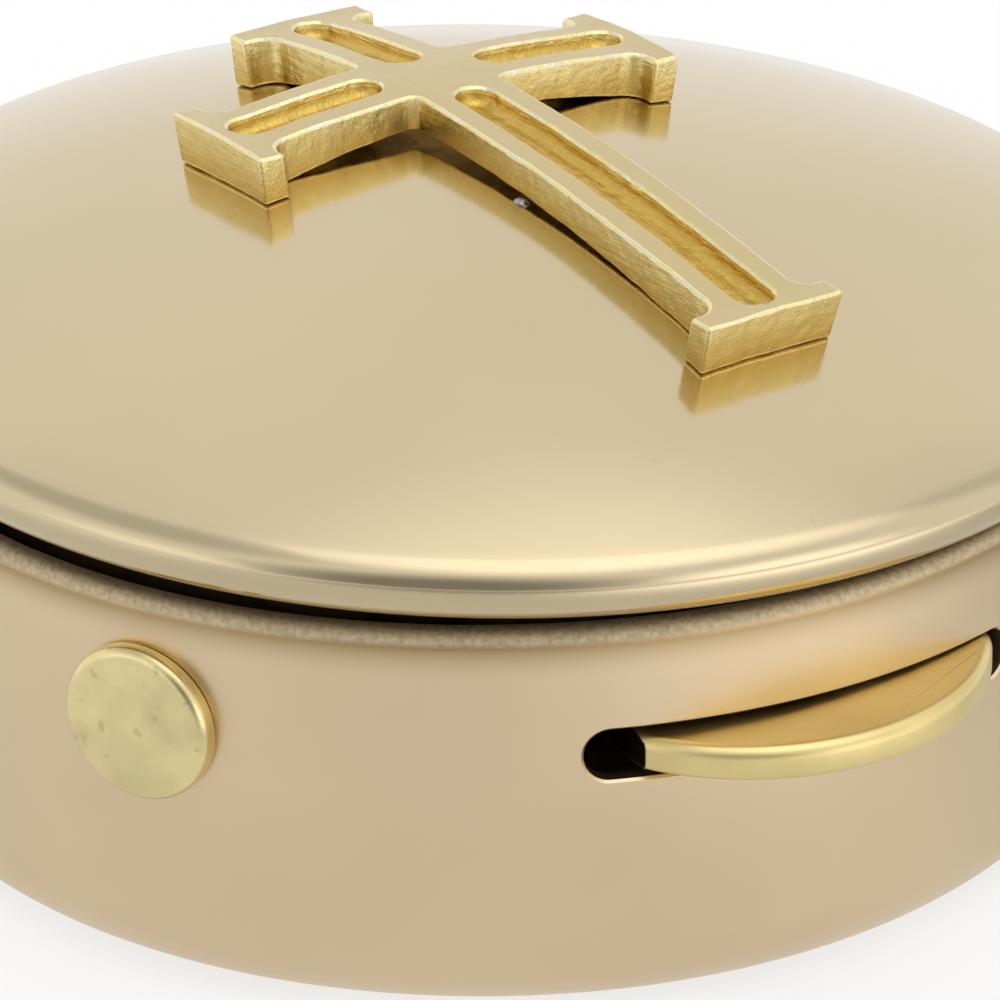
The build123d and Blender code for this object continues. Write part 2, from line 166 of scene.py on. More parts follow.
class PyxCross(bpy.types.PropertyGroup):
    y: length("Crossing", 4.37, "How far the crossing lies behind the lid's middle")
    arm: length("Arm", 10.5, "Length of each side arm from the crossing")
    foot: length("Foot", 23.7, "Length of the stem from the crossing to the foot")
    top: length("Top", 10.35, "Length of the upper arm from the crossing")
    width: length("Width", 4.1, "Width of the arms")
    end_width: length("End width", 6.7, "Width of the broad ends")
    end_thick: length("End thickness", 1.25, "Thickness of the broad ends")
    flare: length("Flare", 0.85, "Rounding where an arm meets its broad end")
    crotch: length("Crotch", 0.45, "Rounding where two arms meet")
    high: length("Height", 2.05, "Height of the upper face over the dome")
    seat: length("Seat", 0.005, "Gap between the ends and the dome")
    dip: length("Dip", 0.35, "How far the stem sags toward the dome in its middle")
    end_rise: length("End rise", 0.25, "How far the broad ends stand over the arms")
    groove: length("Groove width", 1.75, "Width of the groove in each arm")
    groove_depth: length("Groove depth", 0.75, "Depth of the groove in each arm")
    groove_in: length("Groove start", 2.5, "Distance of the side and stem grooves from the crossing")
    groove_in_top: length("Groove start, top", 1.3, "Distance of the upper groove from the crossing")
    groove_out: length("Groove end", 0.8, "Distance of each groove from the end of its arm")
    relief: length("Relief", 0.55, "Height of the hollow under the crossing")
    relief_radius: length("Relief radius", 8.5, "Reach of the hollow under the short arms")
    relief_foot: length("Relief to the foot", 19.0, "Reach of the hollow under the stem")
    edge: length("Edge", 0.16, "Rounding of the edges")
    unevenness: length("Unevenness", 0.06, "How far the casting strays from straight")


class PyxFinish(bpy.types.PropertyGroup):
    lid: colour("Lid gilt", 0.65, 0.54, 0.35, "Polished gilding on the lid")
    lid_deep: colour("Lid gilt, deep", 0.62, 0.51, 0.325, "Deeper patches of the lid's gilding")
    wall: colour("Cup gilt", 0.79, 0.625, 0.405, "Satin gilding on the cup")
    wall_deep: colour("Cup gilt, deep", 0.75, 0.585, 0.375, "Deeper patches of the cup's gilding")
    rim: colour("Rim, bright", 0.68, 0.57, 0.39, "Bright grains of the rolled rim")
    rim_deep: colour("Rim, deep", 0.52, 0.42, 0.265, "Dull grains of the rolled rim")
    # Painted shade: a brown band under the rolled rim that stands in for the rim's shadow and the dark
    # that the wall mirrors there.
    painted_rim_shade: colour("Under the rim", 0.44, 0.31, 0.15, "Tarnish that gathers under the rolled rim")
    cross_top: colour("Cross, rubbed", 0.62, 0.50, 0.26, "Rubbed upper face of the cross")
    cross_side: colour("Cross, cast", 0.91, 0.79, 0.40, "Cast sides of the cross")
    # Partly painted shade: the grooves, the underside and the lower sides take this deeper tone for
    # their shade and the gold that they mirror; the grooves' rough cast skin is also deeper.
    cross_hollow_and_shade: colour("Cross, hollows", 0.67, 0.46, 0.11, "Grooves and underside of the cross")
    # Partly painted highlight: bright spots on the cross's edges, for rubbed edges and for the glints
    # where they catch the light.
    edge_wear_and_glint: colour("Cross, edges", 0.86, 0.78, 0.54, "Bright spots along the edges of the cross")
    tab: colour("Tab gilt", 0.84, 0.68, 0.31, "Rubbed gilding on the tab")
    # Painted shade: the tab's cut ends are made near black to stand in for the shade on them.
    painted_end_shade: colour("Tab, cut ends", 0.05, 0.036, 0.018, "Dark cut ends of the tab")
    rivet: colour("Rivet gilt", 0.86, 0.73, 0.37, "Polished gilding on the rivet")
    tarnish: colour("Tarnish", 0.40, 0.32, 0.13, "Spots of tarnish")
    # Partly painted shade: the inner brass is aged, and it is also kept dark so that the gap under the
    # lid reads dark.
    inner: colour("Inner brass", 0.20, 0.145, 0.075, "Darkened brass inside the box")
    spring: colour("Spring brass", 0.34, 0.24, 0.11, "Rolled brass of the spring")
    solder: colour("Solder", 0.52, 0.48, 0.53, "Grey spot of solder beside the cross")


class PyxStage(bpy.types.PropertyGroup):
    lens: FloatProperty(
        name="Lens", description="Focal length in millimetres", default=172.8, unit="CAMERA"
    )
    distance: length("Distance", 211.14, "Camera's distance from the middle of the cup's underside")
    azimuth: angle("Azimuth", -35.199, "Camera's place round the object, from the front")
    elevation: angle("Elevation", 27.345, "Camera's height over the table as an angle")
    turn: angle("Turn", -0.155, "How far the camera turns away from the object's axis")
    pitch: angle("Pitch", 24.871, "How far the camera looks down")
    roll: angle("Roll", -0.389, "How far the camera leans")
    floor: colour("Floor", 0.92, 0.92, 0.92, "Pale floor")


class PyxSettings(bpy.types.PropertyGroup):
    steps: IntProperty(
        name="Steps", description="Facets round a large round piece", default=320, min=64
    )
    cup: PointerProperty(type=PyxCup)
    tab: PointerProperty(type=PyxTab)
    rivet: PointerProperty(type=PyxRivet)
    spring: PointerProperty(type=PyxSpring)
    lid: PointerProperty(type=PyxLid)
    cross: PointerProperty(type=PyxCross)
    finish: PointerProperty(type=PyxFinish)
    stage: PointerProperty(type=PyxStage)


# Modelling

def clear_selection():
    """Deselects everything, so that an operator acts on the new piece alone."""
    if bpy.context.object and bpy.context.object.mode != "OBJECT":
        bpy.ops.object.mode_set(mode="OBJECT")
    bpy.ops.object.select_all(action="DESELECT")


def activate(piece):
    """Makes a piece the only selected object."""
    clear_selection()
    piece.select_set(True)
    bpy.context.view_layer.objects.active = piece


def make(name, operator, **options):
    """Runs an operator that adds an object, and names the object."""
    clear_selection()
    operator(**options)
    piece = bpy.context.object
    piece.name = piece.data.name = name
    return piece


def edit(piece):
    """Opens a piece in edit mode with everything selected."""
    activate(piece)
    bpy.ops.object.mode_set(mode="EDIT")
    bpy.ops.mesh.select_mode(type="VERT")
    bpy.ops.mesh.select_all(action="SELECT")


def close():
    """Leaves edit mode."""
    bpy.ops.object.mode_set(mode="OBJECT")


def face_out():
    """Points all faces of the open piece out of it, and leaves edit mode."""
    bpy.ops.mesh.select_all(action="SELECT")
    bpy.ops.mesh.normals_make_consistent(inside=False)
    close()


def pick(piece, kind, test):
    """Opens a piece in edit mode with those parts selected of which every point passes a test."""
    edit(piece)
    bpy.ops.mesh.select_all(action="DESELECT")
    bpy.ops.mesh.select_mode(type=kind)
    close()
    mesh = piece.data
    passed = [test(vertex.co) for vertex in mesh.vertices]
    if kind == "VERT":
        for vertex, chosen in zip(mesh.vertices, passed):
            vertex.select = chosen
    else:
        for item in mesh.edges if kind == "EDGE" else mesh.polygons:
            item.select = all(passed[i] for i in item.vertices)
    bpy.ops.object.mode_set(mode="EDIT")


def apply_modifier(piece, kind, **settings):
    """Adds a modifier to a piece and applies it."""
    activate(piece)
    bpy.ops.object.modifier_add(type=kind)
    modifier = piece.modifiers[-1]
    for key, value in settings.items():
        setattr(modifier, key, value)
    bpy.ops.object.modifier_apply(modifier=modifier.name)


def round_edges(piece, width, segments, sharp):
    """Rounds the edges at which a piece turns by more than an angle in degrees."""
    apply_modifier(
        piece, "BEVEL", width=width, segments=segments, limit_method="ANGLE", angle_limit=radians(sharp)
    )


def cut(piece, tool):
    """Cuts a tool's shape out of a piece and removes the tool."""
    apply_modifier(piece, "BOOLEAN", operation="DIFFERENCE", solver="EXACT", object=tool)
    bpy.data.meshes.remove(tool.data)
    edit(piece)
    bpy.ops.mesh.remove_doubles(threshold=WELD)
    bpy.ops.mesh.dissolve_degenerate(threshold=WELD)
    close()


def outline(name, points, filled):
    """A closed outline, laid on the points of a circle."""
    piece = make(
        name, bpy.ops.mesh.primitive_circle_add,
        vertices=len(points), radius=MM, fill_type="NGON" if filled else "NOTHING",
    )
    for vertex, point in zip(piece.data.vertices, points):
        vertex.co = point
    return piece


def extrude(height):
    """Raises what is selected in the open piece."""
    bpy.ops.mesh.extrude_region_move(TRANSFORM_OT_translate={"value": (0, 0, height)})


def raise_up(piece, height):
    """Raises a flat piece to a height."""
    edit(piece)
    extrude(height)
    face_out()


def arc(mid, radius, start, stop, count):
    """Points of a section along an arc, its angles in radians."""
    step = (stop - start) / count
    return [
        (mid[0] + radius * cos(start + step * i), mid[1] + radius * sin(start + step * i))
        for i in range(count + 1)
    ]


def run(start, stop, count):
    """Points of a section between two places, without the places themselves."""
    return [
        (start[0] + (stop[0] - start[0]) * i / count, start[1] + (stop[1] - start[1]) * i / count)
        for i in range(1, count)
    ]


def lathe(name, section, steps):
    """Spins a section round Z. Only its first and last points lie on the axis."""
    piece = outline(name, [(r, 0, z) for r, z in section], False)
    pick(piece, "EDGE", lambda co: co.x < MERGE)
    bpy.ops.mesh.delete(type="EDGE_FACE")
    bpy.ops.mesh.select_all(action="SELECT")
    bpy.ops.mesh.spin(steps=steps, angle=2 * pi, center=(0, 0, 0), axis=(0, 0, 1))
    bpy.ops.mesh.select_all(action="SELECT")
    bpy.ops.mesh.remove_doubles(threshold=MERGE)
    face_out()
    return piece


def cutter(name, left, right, radius, depth, flare, count=48):
    """A plate with two round ends and, over its depth, a mouth that spreads as far as it rises."""
    points = []
    for i in range(count):
        turn = 2 * pi * (i + 0.5) / count
        mid = right if cos(turn) > 0 else left
        points.append((mid + radius * cos(turn), radius * sin(turn), 0))
    tool = outline(name, points, True)
    raise_up(tool, depth)
    pick(tool, "FACE", lambda co: co.z > depth - TOUCH)
    extrude(flare)
    close()
    for vertex in tool.data.vertices:
        if vertex.co.z > depth + TOUCH:
            mid = Vector((min(max(vertex.co.x, left), right), 0))
            vertex.co.xy = (vertex.co.xy - mid) * (1 + flare / radius) + mid
    return tool


def slice_evenly(piece, axis, start, stop, step):
    """Cuts rows of edges across a piece, square to an axis."""
    edit(piece)
    bpy.ops.mesh.select_mode(type="FACE")
    count = int((stop - start) / step)
    for i in range(1, count + 1):
        at, across = Vector(), Vector()
        at[axis] = start + (stop - start) * i / (count + 1)
        across[axis] = 1
        bpy.ops.mesh.select_all(action="SELECT")
        bpy.ops.mesh.bisect(plane_co=at, plane_no=across, threshold=MERGE)
    close()


def settle(piece, place=None, sharp=40, weighted=False):
    """Puts a piece in its place with an untransformed object, and smooths its faces."""
    activate(piece)
    if place:
        piece.matrix_world = place
    bpy.ops.object.transform_apply(location=True, rotation=True, scale=True)
    bpy.ops.object.shade_smooth_by_angle(angle=radians(sharp))
    if weighted:
        apply_modifier(piece, "WEIGHTED_NORMAL", keep_sharp=True, mode="FACE_AREA_WITH_ANGLE")


def dress(piece, finish):
    """Gives a piece its material."""
    piece.data.materials.clear()
    piece.data.materials.append(finish)


def hand_over(piece, body, slot, finish, *nodes):
    """Gives a piece its finish, its body and the CAD nodes that it stands for."""
    dress(piece, finish)
    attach(piece, body)
    if nodes:
        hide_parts(*nodes)


def outward(turn, rise=0.0):
    """Unit vector away from the object at an angle from the front, and one over the table."""
    return Vector((sin(turn) * cos(rise), -cos(turn) * cos(rise), sin(rise)))


def along(turn):
    """Unit vector along the wall, toward growing angles."""
    return Vector((cos(turn), sin(turn), 0))


def upward(height):
    """Vector straight up."""
    return Vector((0, 0, height))


def tab_middle(cup, tab):
    """Distance of the middle of the tab's round end from the cup's axis."""
    return cup.radius + tab.reach - tab.arc


def tab_meet(cup, tab):
    """Distance from the cup's axis, along the tab, at which its round end meets the wall."""
    middle = tab_middle(cup, tab)
    return (cup.radius**2 + middle**2 - tab.arc**2) / (2 * middle)


def tab_half(cup, tab):
    """Half the tab's width between its straight sides."""
    return sqrt(cup.radius**2 - tab_meet(cup, tab) ** 2) - tab.side_in


def shank_tool(rivet, distance, depth):
    """A cutter for the rivet's shank, its middle at a distance from the cup's axis."""
    return make(
        "shank_tool", bpy.ops.mesh.primitive_cylinder_add,
        vertices=48, radius=rivet.shank * 1.04, depth=depth,
        location=outward(rivet.turn) * distance + upward(rivet.z), rotation=(pi / 2, 0, rivet.turn),
    )


def lid_place(lid):
    """Matrix from the lid's own frame, with Z along its axis, to the object's frame."""
    return Matrix.Translation((0, 0, lid.z)) @ Matrix.Rotation(lid.tilt, 4, "X")


def dome_low(lid):
    """Height of the dome's centre in the lid's frame."""
    return lid.bead - sqrt((lid.dome - lid.bead) ** 2 - (lid.radius - lid.bead) ** 2)


# Materials

def add(tree, kind, inputs=None, **settings):
    """Adds a node, sets its options, and sets or links its inputs."""
    item = tree.nodes.new(kind)
    for key, value in settings.items():
        setattr(item, key, value)
    for key, value in (inputs or {}).items():
        if isinstance(value, bpy.types.NodeSocket):
            tree.links.new(value, item.inputs[key])
        else:
            item.inputs[key].default_value = value
    return item


def mixed(tree, factor, first, second):
    """Colour between two colours."""
    item = add(tree, "ShaderNodeMix", {0: factor, 6: first, 7: second}, data_type="RGBA")
    return item.outputs[2]


def ranged(tree, value, low, high, to_low=0.0, to_high=1.0):
    """A value stretched from one range to another, and held inside it."""
    return add(tree, "ShaderNodeMapRange", {
        "Value": value, "From Min": low, "From Max": high, "To Min": to_low, "To Max": to_high,
    }).outputs["Result"]


def maths(tree, operation, first, second=0.0):
    """One step of arithmetic on values."""
    return add(tree, "ShaderNodeMath", {0: first, 1: second}, operation=operation).outputs[0]


def vectors(tree, operation, first, second):
    """Outputs of one step of arithmetic on vectors."""
    return add(tree, "ShaderNodeVectorMath", {0: first, 1: second}, operation=operation).outputs


def clouds(tree, place, scale, detail, roughness=0.5):
    """Outputs of a noise texture."""
    return add(tree, "ShaderNodeTexNoise", {
        "Vector": place, "Scale": scale, "Detail": detail, "Roughness": roughness,
    }).outputs


def rgba(rgb, share=1.0):
    """A colour setting, or a share of it, as a node's colour."""
    return (*(value * share for value in rgb), 1.0)


def tone_drift(tree, into):
    """Slow change between two tones of gilding."""
    patches = clouds(tree, into["Vector"], into["Scale"], 3.0, 0.55)[0]
    return mixed(tree, ranged(tree, patches, 0.35, 0.65), into["Deep"], into["Light"])


def smudges(tree, into):
    """Roughness that changes softly where the metal was handled."""
    patches = clouds(tree, into["Vector"], into["Scale"], 5.0, 0.6)[0]
    return ranged(tree, patches, 0.3, 0.7, into["Low"], into["High"])


def hairlines(tree, into):
    """Fine lines left by polishing, as a height."""
    stretched = vectors(tree, "MULTIPLY", into["Vector"], into["Stretch"])[0]
    return clouds(tree, stretched, 1.0, 4.0, 0.7)[0]


def tarnish_spots(tree, into):
    """Scattered ragged spots of tarnish and dust, as a mask."""
    haze = clouds(tree, into["Vector"], maths(tree, "MULTIPLY", into["Scale"], 1.6), 4.0)
    stray = vectors(tree, "SUBTRACT", haze["Color"], (0.5, 0.5, 0.5))[0]
    sway = add(tree, "ShaderNodeVectorMath", {
        0: stray, "Scale": maths(tree, "DIVIDE", 1.1, into["Scale"]),
    }, operation="SCALE").outputs[0]
    ragged = vectors(tree, "ADD", into["Vector"], sway)[0]
    cells = add(tree, "ShaderNodeTexVoronoi", {"Vector": ragged, "Scale": into["Scale"]})
    spread = maths(tree, "MULTIPLY", haze[0], into["Size"])
    return ranged(tree, maths(tree, "SUBTRACT", spread, cells.outputs["Distance"]), 0.0, 0.1)


def cast_skin(tree, into):
    """Uneven skin of a small casting, as a height."""
    lumps = clouds(tree, into["Vector"], into["Scale"], 4.0, 0.6)[0]
    pits = add(tree, "ShaderNodeTexVoronoi", {
        "Vector": into["Vector"], "Scale": maths(tree, "MULTIPLY", into["Scale"], 1.7),
    }, feature="SMOOTH_F1").outputs["Distance"]
    return maths(tree, "ADD", lumps, maths(tree, "MULTIPLY", pits, 0.5))


# What fills each group, its output, and its inputs beside the place
GROUPS = {
    "Tone Drift": (
        tone_drift, ("Color", "Color"), {"Scale": "Float", "Deep": "Color", "Light": "Color"},
    ),
    "Handling Smudges": (
        smudges, ("Roughness", "Float"), {"Scale": "Float", "Low": "Float", "High": "Float"},
    ),
    "Hairlines": (hairlines, ("Height", "Float"), {"Stretch": "Vector"}),
    "Tarnish Spots": (tarnish_spots, ("Mask", "Float"), {"Scale": "Float", "Size": "Float"}),
    "Cast Skin": (cast_skin, ("Height", "Float"), {"Scale": "Float"}),
}


def group(name):
    """A shader node group, built the first time that it is asked for."""
    tree = bpy.data.node_groups.get(name)
    if tree:
        return tree
    fill, (result, result_kind), inputs = GROUPS[name]
    tree = bpy.data.node_groups.new(name, "ShaderNodeTree")
    for label, kind in {"Vector": "Vector", **inputs}.items():
        tree.interface.new_socket(name=label, in_out="INPUT", socket_type="NodeSocket" + kind)
    tree.interface.new_socket(name=result, in_out="OUTPUT", socket_type="NodeSocket" + result_kind)
    into = tree.nodes.new("NodeGroupInput").outputs
    out = tree.nodes.new("NodeGroupOutput").inputs
    tree.links.new(fill(tree, into), out[result])
    return tree


def layer(tree, place, name, **inputs):
    """Output of a node group that is laid over a material's coordinates."""
    inputs["Vector"] = place
    return add(tree, "ShaderNodeGroup", inputs, node_tree=group(name)).outputs[0]


def gilding(tree, place, light, deep, drift, smudge, rough):
    """A metal's tone, which drifts between two, and its roughness, smudged inside a range."""
    low, high = rough
    return {
        "Base Color": layer(tree, place, "Tone Drift", Scale=drift, Deep=deep, Light=light),
        "Roughness": layer(tree, place, "Handling Smudges", Scale=smudge, Low=low, High=high),
    }


def bump(tree, height, depth):
    """Normal of a surface with a height, its depth in metres."""
    return add(tree, "ShaderNodeBump", {"Height": height, "Distance": depth}).outputs[0]


def lid_finish(tree, place, settings):
    """Polished gilding of the lid, with faint drifts, dust and rubbing lines."""
    tones = settings.finish
    into = gilding(
        tree, place, rgba(tones.lid), rgba(tones.lid_deep), drift=55, smudge=120, rough=(0.12, 0.16)
    )
    specks = layer(tree, place, "Tarnish Spots", Scale=260, Size=0.075)
    lines = layer(tree, place, "Hairlines", Stretch=(900, 5000, 900))
    into["Base Color"] = mixed(tree, specks, into["Base Color"], rgba(tones.tarnish))
    into["Normal"] = bump(tree, lines, 0.0004 * MM)
    return into


def cup_finish(tree, place, settings):
    """Satin gilding of the cup, with painted shade under its rim and a rough band where the rim is
    rolled.
    """
    tones, top = settings.finish, settings.cup.height
    into = gilding(
        tree, place, rgba(tones.wall), rgba(tones.wall_deep), drift=70, smudge=160, rough=(0.29, 0.35)
    )
    height = add(tree, "ShaderNodeSeparateXYZ", {0: place}).outputs["Z"]
    rim = ranged(tree, height, top - 0.62 * MM, top - 0.42 * MM)
    # Painted shade: the wall darkens toward the brown tone just under the rolled rim.
    under_rim_shade_ramp = ranged(tree, height, top - 2.1 * MM, top - 0.65 * MM)
    shade = maths(tree, "MULTIPLY", under_rim_shade_ramp, under_rim_shade_ramp)
    wall = mixed(tree, shade, into["Base Color"], rgba(tones.painted_rim_shade))
    grains = clouds(tree, place, 4200, 3.0)[0]
    speckle = ranged(tree, grains, 0.35, 0.65)
    rim_tone = mixed(tree, speckle, rgba(tones.rim_deep), rgba(tones.rim))
    into["Base Color"] = mixed(tree, rim, wall, rim_tone)
    into["Roughness"] = maths(tree, "ADD", into["Roughness"], maths(tree, "MULTIPLY", rim, 0.3))
    lines = layer(tree, place, "Hairlines", Stretch=(1500, 1500, 9000))
    pitted = maths(tree, "MULTIPLY", maths(tree, "MULTIPLY", grains, rim), 6.0)
    into["Normal"] = bump(tree, maths(tree, "ADD", lines, pitted), 0.002 * MM)
    return into


def tab_finish(tree, place, settings):
    """Gilding of the tab, rubbed satin, with painted shade on its cut ends."""
    tones, tab = settings.finish, settings.tab
    into = gilding(
        tree, place, rgba(tones.tab), rgba(tones.tab, 0.88), drift=260, smudge=300, rough=(0.3, 0.42)
    )
    # Painted shade: near-black colour on the cut ends at either side of the tab.
    aside = vectors(tree, "DOT_PRODUCT", place, along(tab.turn))["Value"]
    half = tab_half(settings.cup, tab)
    painted_end_shade = ranged(tree, maths(tree, "ABSOLUTE", aside), half - 0.05 * MM, half - 0.01 * MM)
    into["Base Color"] = mixed(tree, painted_end_shade, into["Base Color"], rgba(tones.painted_end_shade))
    into["Normal"] = bump(tree, layer(tree, place, "Cast Skin", Scale=900), 0.005 * MM)
    return into


def rivet_finish(tree, place, settings):
    """Gilding of the rivet with spots of tarnish."""
    tones = settings.finish
    into = gilding(
        tree, place, rgba(tones.rivet), rgba(tones.rivet, 0.8), drift=400, smudge=500, rough=(0.16, 0.32)
    )
    spots = layer(tree, place, "Tarnish Spots", Scale=950, Size=0.4)
    faded = maths(tree, "MULTIPLY", spots, 0.35)
    into["Base Color"] = mixed(tree, faded, into["Base Color"], rgba(tones.tarnish))
    into["Normal"] = bump(tree, layer(tree, place, "Cast Skin", Scale=700), 0.006 * MM)
    return into


def cross_finish(tree, place, settings):
    """Casting with a rubbed pale top and richer sides; the sides darken toward the dome and in the
    grooves as painted shade, the edges carry painted highlight along with their wear, and the piece's
    own attributes tell them apart.
    """
    tones = settings.finish
    rubbed, edges, hollow = (
        add(tree, "ShaderNodeAttribute", attribute_name=name).outputs["Fac"] for name in WEAR_AND_SHADE
    )
    grains = clouds(tree, place, 1700, 4.0)[0]
    # Partly painted highlight: bright spots along the edges, for wear and for glints.
    edge_glint_spots = maths(tree, "MULTIPLY", edges, ranged(tree, grains, 0.45, 0.6))
    # Painted shade: the sides darken toward the dome and into the grooves and underside.
    sides = mixed(tree, hollow, rgba(tones.cross_side), rgba(tones.cross_hollow_and_shade))
    base = mixed(tree, rubbed, sides, rgba(tones.cross_top))
    skin = layer(tree, place, "Cast Skin", Scale=1000)
    lines = layer(tree, place, "Hairlines", Stretch=(6500, 260, 6500))
    height = maths(tree, "ADD", skin, maths(tree, "MULTIPLY", lines, 0.5))
    calmed = maths(tree, "MULTIPLY", height, ranged(tree, rubbed, 0.0, 1.0, 1.0, 0.35))
    return {
        "Base Color": mixed(tree, edge_glint_spots, base, rgba(tones.edge_wear_and_glint)),
        "Roughness": layer(tree, place, "Handling Smudges", Scale=420, Low=0.2, High=0.34),
        "Normal": bump(tree, calmed, 0.09 * MM),
    }


def hinge_finish(tree, place, settings):
    """Satin gilding of the hinge."""
    tones = settings.finish
    into = gilding(
        tree, place, rgba(tones.wall), rgba(tones.wall_deep), drift=200, smudge=400, rough=(0.22, 0.36)
    )
    lines = layer(tree, place, "Hairlines", Stretch=(1200, 6000, 6000))
    into["Normal"] = bump(tree, lines, 0.002 * MM)
    return into


def inner_finish(tree, place, settings):
    """Plain brass inside the box, darkened with age and kept dark as painted shade for the gap under the
    lid.
    """
    tone = settings.finish.inner
    into = gilding(tree, place, rgba(tone), rgba(tone, 0.6), drift=350, smudge=500, rough=(0.4, 0.55))
    into["Normal"] = bump(tree, layer(tree, place, "Cast Skin", Scale=800), 0.008 * MM)
    return into


def spring_finish(tree, place, settings):
    """Rolled brass of the spring, with lines along the strip."""
    tone = settings.finish.spring
    into = gilding(tree, place, rgba(tone), rgba(tone, 0.7), drift=280, smudge=420, rough=(0.28, 0.42))
    lines = layer(tree, place, "Hairlines", Stretch=(800, 800, 9000))
    into["Normal"] = bump(tree, lines, 0.003 * MM)
    return into


def solder_finish(tree, place, settings):
    """Dull grey solder."""
    tone = settings.finish.solder
    return gilding(tree, place, rgba(tone), rgba(tone, 0.6), drift=2500, smudge=2500, rough=(0.25, 0.5))


FINISHES = {
    "Lid gilt": lid_finish,
    "Cup gilt": cup_finish,
    "Tab gilt": tab_finish,
    "Rivet gilt": rivet_finish,
    "Cross gilt": cross_finish,
    "Hinge gilt": hinge_finish,
    "Inner brass": inner_finish,
    "Spring brass": spring_finish,
    "Solder": solder_finish,
}


def new_material(name):
    """A new material and its node tree."""
    finish = bpy.data.materials.new(name)
    finish.use_nodes = True
    return finish, finish.node_tree


def finish_named(name, settings):
    """A metal of the pyx, made the first time that it is asked for."""
    finish = bpy.data.materials.get(name)
    if finish:
        return finish
    finish, tree = new_material(name)
    shader = tree.nodes["Principled BSDF"].inputs
    shader["Metallic"].default_value = 1.0
    place = add(tree, "ShaderNodeTexCoord").outputs["Object"]
    for key, value in FINISHES[name](tree, place, settings).items():
        tree.links.new(value, shader[key])
    return finish


def show_glow(tree, share, under, strength):
    """Lays a share of white glow over a shader, and shows both."""
    glow = add(tree, "ShaderNodeEmission", {"Color": WHITE, "Strength": strength})
    both = add(tree, "ShaderNodeMixShader", {0: share, 1: under.outputs[0], 2: glow.outputs[0]})
    tree.links.new(both.outputs[0], tree.nodes["Material Output"].inputs["Surface"])


# Pieces

class PYX_OT_cup(bpy.types.Operator):
    """Turns the cup and cuts its slot for the tab and its hole for the rivet"""

    bl_idname = "pyx.cup"
    bl_label = "Cup"

    def execute(self, context):
        settings = context.scene.pyx
        cup = settings.cup
        inside = cup.radius - cup.wall
        inner_corner = cup.corner - cup.wall
        rim_z = cup.height - cup.rim
        rolled = radians(250)
        under_rim = (inside, rim_z - cup.rim * 1.4)
        corner_in = (inside - inner_corner, cup.floor + inner_corner)
        section = [(0, 0)] + run((0, 0), (cup.radius - cup.corner, 0), 6)
        section += arc((cup.radius - cup.corner, cup.corner), cup.corner, -pi / 2, 0, 14)
        section += run((cup.radius, cup.corner), (cup.radius, rim_z), 16)
        section += arc((cup.radius - cup.rim, rim_z), cup.rim, 0, rolled, 22)
        section += [under_rim] + run(under_rim, (inside, corner_in[1]), 10)
        section += arc(corner_in, inner_corner, 0, -pi / 2, 10)
        section += run((corner_in[0], cup.floor), (0, cup.floor), 6) + [(0, cup.floor)]
        piece = lathe("cup", section, settings.steps)
        cut(piece, self.slot_tool(cup, settings.tab))
        cut(piece, shank_tool(settings.rivet, inside, cup.wall * 4))
        settle(piece, sharp=30)
        self.true_wall(piece, cup)
        hand_over(piece, "base", "cup_gilt", finish_named("Cup gilt", settings), "base_cup")
        return {"FINISHED"}

    @staticmethod
    def slot_tool(cup, tab):
        """The slot's shape with its flared mouth, bent round the wall."""
        radius, depth, step = cup.slot_height / 2, cup.wall * 2.5, 0.45 * MM
        half = acos(tab_meet(cup, tab) / cup.radius) * cup.radius
        place = tab.turn * cup.radius
        left = place - half - cup.slot_left_room + radius
        right = place + half + cup.slot_right_room - radius
        tool = cutter("slot_tool", left, right, radius, depth - cup.slot_edge, cup.slot_edge * 4)
        slice_evenly(tool, 0, left - radius * 1.4, right + radius * 1.4, step)
        for vertex in tool.data.vertices:
            away = outward(vertex.co.x / cup.radius) * (cup.radius - depth + vertex.co.z)
            vertex.co = away + upward(cup.slot_z + vertex.co.y)
        edit(tool)
        face_out()
        return tool

    @staticmethod
    def true_wall(piece, cup):
        """Points the wall's normals straight out of it, also where the slot has cut its faces."""
        mesh = piece.data
        upright = 0.99
        normals = [Vector(corner.vector) for corner in mesh.corner_normals]
        for face in mesh.polygons:
            out = face.normal.dot(Vector((face.center.x, face.center.y, 0)).normalized())
            if abs(out) < upright or not cup.corner < face.center.z < cup.height - cup.rim:
                continue
            for corner in face.loop_indices:
                place = mesh.vertices[mesh.loops[corner].vertex_index].co
                normals[corner] = Vector((place.x, place.y, 0)).normalized() * (1 if out > 0 else -1)
        mesh.normals_split_custom_set(normals)


class PYX_OT_rivet(bpy.types.Operator):
    """Turns the rivet that holds the spring"""

    bl_idname = "pyx.rivet"
    bl_label = "Rivet"

    def execute(self, context):
        settings = context.scene.pyx
        cup, rivet = settings.cup, settings.rivet
        tail_low, tail_edge = -2.62 * MM, 0.15 * MM
        low_edge, edge, crown = 0.1 * MM, 0.42 * MM, 0.16 * MM
        tail_top = tail_low + rivet.tail_thick
        flat, rings = rivet.head - edge * 1.2, 14
        section = [(0, tail_low), (rivet.tail - tail_edge, tail_low), (rivet.tail, tail_low + tail_edge)]
        section += [(rivet.tail, tail_top), (rivet.shank, tail_top), (rivet.shank, 0)]
        section += [(rivet.head - low_edge, 0), (rivet.head, low_edge)]
        section += arc((rivet.head - edge, rivet.head_thick - crown - edge), edge, 0, radians(80), 10)
        for i in range(rings + 1):
            out = 1 - i / rings
            section.append((flat * out, rivet.head_thick - crown * out**2))
        piece = lathe("rivet", section, settings.steps // 2)
        for vertex in piece.data.vertices:
            if vertex.co.xy.length > rivet.shank * 1.1 and -TOUCH < vertex.co.z < low_edge + TOUCH:
                vertex.co.z += sqrt(cup.radius**2 - vertex.co.x**2) - cup.radius
        away = outward(rivet.turn)
        place = Matrix((along(rivet.turn), (0, 0, 1), away)).transposed().to_4x4()
        place.translation = away * rivet.seat + upward(rivet.z)
        settle(piece, place, sharp=30)
        hand_over(piece, "base", "tab_gilt", finish_named("Rivet gilt", settings), "wall_rivet")
        return {"FINISHED"}


